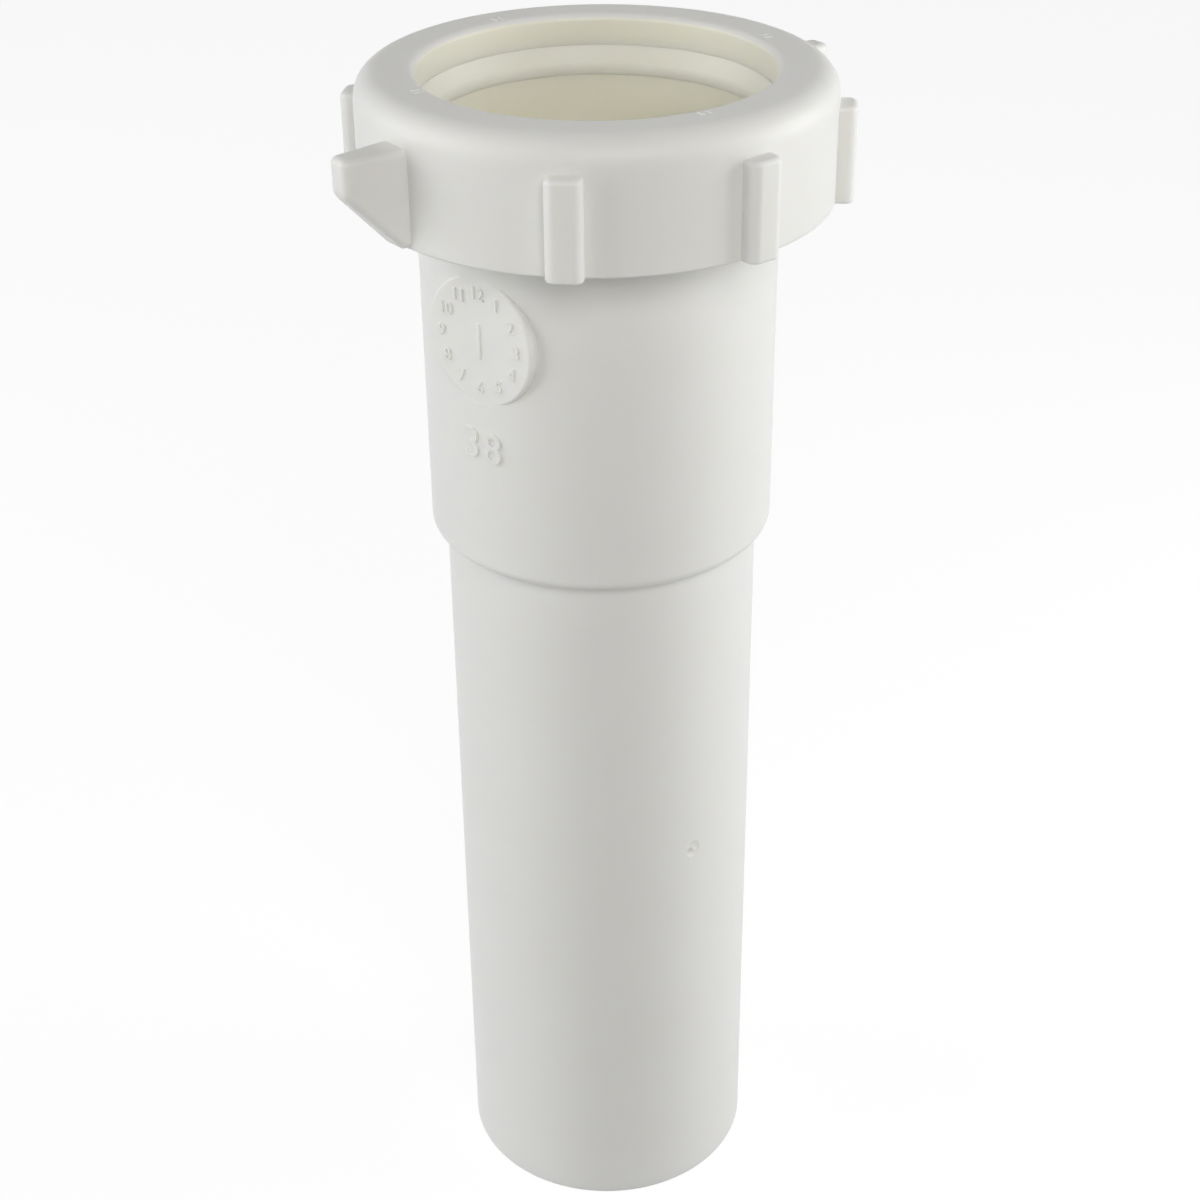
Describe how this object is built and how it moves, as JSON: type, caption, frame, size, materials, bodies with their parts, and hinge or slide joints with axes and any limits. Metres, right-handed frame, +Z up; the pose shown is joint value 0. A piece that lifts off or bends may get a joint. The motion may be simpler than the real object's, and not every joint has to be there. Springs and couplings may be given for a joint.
{
  "type": "slip-joint extension tube",
  "caption": "White plastic waste tube with a plain lower end, a belled upper end, a winged slip nut on the bell's thread and a tapered washer under the nut.",
  "frame": {"origin": "on the tube's axis, at the plane of its plain lower end", "axes": "+Z up the tube's axis, from the plain end to the nut; X along the nut's two wings as tightened"},
  "size_m": [0.0688, 0.0582, 0.1537],
  "materials": {
    "tube_plastic": "natural white polypropylene, satin, slightly translucent",
    "nut_plastic": "natural white polypropylene, satin, slightly translucent",
    "washer_plastic": "soft natural white polyethylene, satin"
  },
  "bodies": {
    "tube": {"extension_tube": "tube_plastic"},
    "washer": {"slip_washer": "washer_plastic"},
    "nut": {"slip_nut": "nut_plastic"}
  },
  "joints": [
    {"name": "washer_lift", "type": "slide", "parent": "tube", "child": "washer", "axis": [0, 0, 1], "range_m": [0, 0.00663]},
    {"name": "nut_turn", "type": "hinge", "parent": "washer", "child": "nut", "pos_m": [0, 0, 0.1387], "axis": [0, 0, 1], "range_deg": [0, 1080]}
  ],
  "couplings": [
    {"joint": "washer_lift", "follows": "nut_turn", "m_per_rad": 0.00035152}
  ]
}
